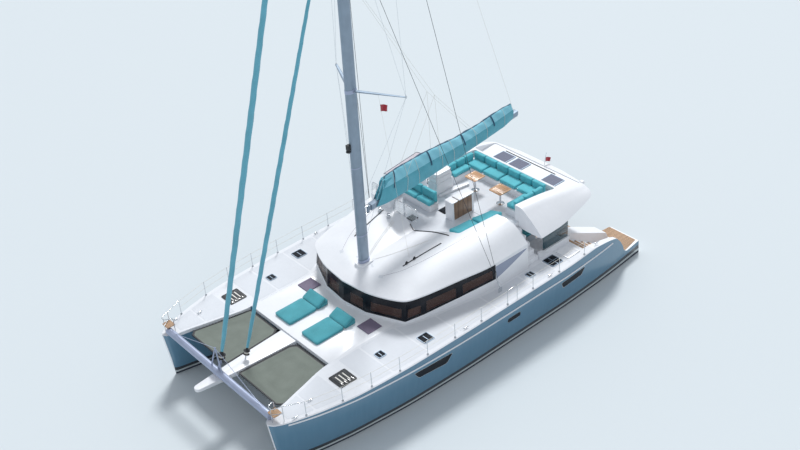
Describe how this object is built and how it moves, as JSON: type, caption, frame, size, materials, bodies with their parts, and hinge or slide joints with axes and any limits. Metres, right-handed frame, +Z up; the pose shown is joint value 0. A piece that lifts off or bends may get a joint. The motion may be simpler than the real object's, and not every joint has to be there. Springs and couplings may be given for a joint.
{
  "type": "sailing catamaran",
  "caption": "Cruising sailing catamaran with two decked hulls, a saloon with wrap-round glass, a flybridge, trampolines and a furled rig.",
  "frame": {"origin": "amidships on the centre plane, at the waterline", "axes": "+X to the bows, +Y to port, +Z up along the mast"},
  "size_m": [18.93, 9.12, 30.1],
  "materials": {
    "hull_paint": "gloss",
    "gelcoat": "satin",
    "canvas_turquoise": "woven",
    "net": "mesh",
    "teak": "oiled",
    "wood": "varnished",
    "alloy": "anodised",
    "steel": "polished",
    "wire": "satin",
    "glass": "gloss",
    "tint": "gloss",
    "lid": "textured",
    "sailbag": "woven",
    "furl": "woven",
    "bimini": "woven",
    "bronze": "satin",
    "engine": "matt"
  },
  "bodies": {
    "vessel": {"hull_port": "hull_paint", "hull_starboard": "hull_paint", "engine_port": "engine", "engine_starboard": "engine", "saildrive_port": "alloy", "saildrive_starboard": "alloy", "bridgedeck": "gelcoat", "longeron": "gelcoat", "crossbeam": "alloy", "trampoline_port": "net", "trampoline_starboard": "net", "rails_port": "steel", "rails_starboard": "steel", "saloon_walls": "gelcoat", "window_front": "glass", "window_port": "glass", "window_starboard": "glass", "bulkhead": "gelcoat", "bulkhead_pane": "glass", "settee": "bimini", "galley": "wood", "coachroof": "gelcoat", "hardtop": "gelcoat", "sofa_cushions": "canvas_turquoise", "stairs_port": "gelcoat", "stairs_starboard": "gelcoat", "side_screen_port": "tint", "side_screen_starboard": "tint", "fly_table_port": "wood", "fly_table_starboard": "wood", "bar": "gelcoat", "fridge_tower": "gelcoat", "bench_cushion": "canvas_turquoise", "helm_seat": "canvas_turquoise", "helm_console": "gelcoat", "bimini": "bimini", "sunpad_port": "canvas_turquoise", "sunpad_starboard": "canvas_turquoise", "cockpit_sofa": "canvas_turquoise", "cockpit_table": "wood", "mast": "alloy", "shrouds_port": "wire", "shrouds_starboard": "wire"},
    "boom": {"boom": "alloy", "sail_bag": "sailbag"},
    "genoa": {"genoa": "furl"},
    "jib": {"jib": "furl"},
    "wheel": {"steering_wheel": "steel"},
    "saloon_door": {"sliding_door": "glass"},
    "platform": {"stern_platform": "teak"},
    "rudder_port": {"rudder_port": "hull_paint"},
    "rudder_starboard": {"rudder_starboard": "hull_paint"},
    "propeller_port": {"propeller_port": "bronze"},
    "propeller_starboard": {"propeller_starboard": "bronze"},
    "fore_hatch_port": {"fore_hatch_port": "glass"},
    "fore_hatch_starboard": {"fore_hatch_starboard": "glass"},
    "engine_lid_port": {"engine_lid_port": "gelcoat"},
    "engine_lid_starboard": {"engine_lid_starboard": "gelcoat"},
    "locker_lid_port": {"locker_lid_port": "lid"},
    "locker_lid_starboard": {"locker_lid_starboard": "lid"}
  },
  "joints": [
    {"name": "boom_swing", "type": "hinge", "parent": "vessel", "child": "boom", "pos_m": [1.44, 0, 5.5], "axis": [0, 0, 1], "range_deg": [-40, 40]},
    {"name": "genoa_furl", "type": "hinge", "parent": "vessel", "child": "genoa", "pos_m": [8.42, 0, 2.56], "axis": [-0.3041, 0, 0.9526], "continuous": true},
    {"name": "jib_furl", "type": "hinge", "parent": "vessel", "child": "jib", "pos_m": [7.44, 0, 2.13], "axis": [-0.3511, 0, 0.9364], "continuous": true},
    {"name": "saloon_door_slide", "type": "slide", "parent": "vessel", "child": "saloon_door", "axis": [0, -1, 0], "range_m": [0, 1.5]},
    {"name": "platform_lift", "type": "slide", "parent": "vessel", "child": "platform", "axis": [0, 0, -1], "range_m": [0, 0.7]},
    {"name": "steer_port", "type": "hinge", "parent": "vessel", "child": "rudder_port", "pos_m": [-7.3, 3.39, -0.385], "axis": [0, 0, 1], "range_deg": [-35, 35]},
    {"name": "steer_starboard", "type": "hinge", "parent": "vessel", "child": "rudder_starboard", "pos_m": [-7.3, -3.39, -0.385], "axis": [0, 0, 1], "range_deg": [-35, 35]},
    {"name": "wheel_turn", "type": "hinge", "parent": "vessel", "child": "wheel", "pos_m": [-1.24, -2.08, 4.18], "axis": [0.9801, 0, -0.1987], "range_deg": [-281, 281]},
    {"name": "propeller_port_spin", "type": "hinge", "parent": "vessel", "child": "propeller_port", "pos_m": [-5.12, 3.39, -1.02], "axis": [1, 0, 0], "continuous": true},
    {"name": "fore_hatch_port_hinge", "type": "hinge", "parent": "vessel", "child": "fore_hatch_port", "pos_m": [6.06, 3.31, 2.0506], "axis": [0, 1, 0], "range_deg": [0, 85]},
    {"name": "engine_lid_port_hinge", "type": "hinge", "parent": "vessel", "child": "engine_lid_port", "pos_m": [-4.79, 3.85, 2.0506], "axis": [0, 1, 0], "range_deg": [0, 85]},
    {"name": "locker_lid_port_hinge", "type": "hinge", "parent": "vessel", "child": "locker_lid_port", "pos_m": [3.56, 1.8, 2.0506], "axis": [0, 1, 0], "range_deg": [0, 85]},
    {"name": "propeller_starboard_spin", "type": "hinge", "parent": "vessel", "child": "propeller_starboard", "pos_m": [-5.12, -3.39, -1.02], "axis": [1, 0, 0], "continuous": true},
    {"name": "fore_hatch_starboard_hinge", "type": "hinge", "parent": "vessel", "child": "fore_hatch_starboard", "pos_m": [6.06, -3.31, 2.0506], "axis": [0, 1, 0], "range_deg": [0, 85]},
    {"name": "engine_lid_starboard_hinge", "type": "hinge", "parent": "vessel", "child": "engine_lid_starboard", "pos_m": [-4.79, -3.85, 2.0506], "axis": [0, 1, 0], "range_deg": [0, 85]},
    {"name": "locker_lid_starboard_hinge", "type": "hinge", "parent": "vessel", "child": "locker_lid_starboard", "pos_m": [3.56, -1.8, 2.0506], "axis": [0, 1, 0], "range_deg": [0, 85]}
  ],
  "couplings": [
    {"joint": "steer_starboard", "follows": "steer_port", "ratio": 1},
    {"joint": "wheel_turn", "follows": "steer_port", "ratio": 8}
  ]
}
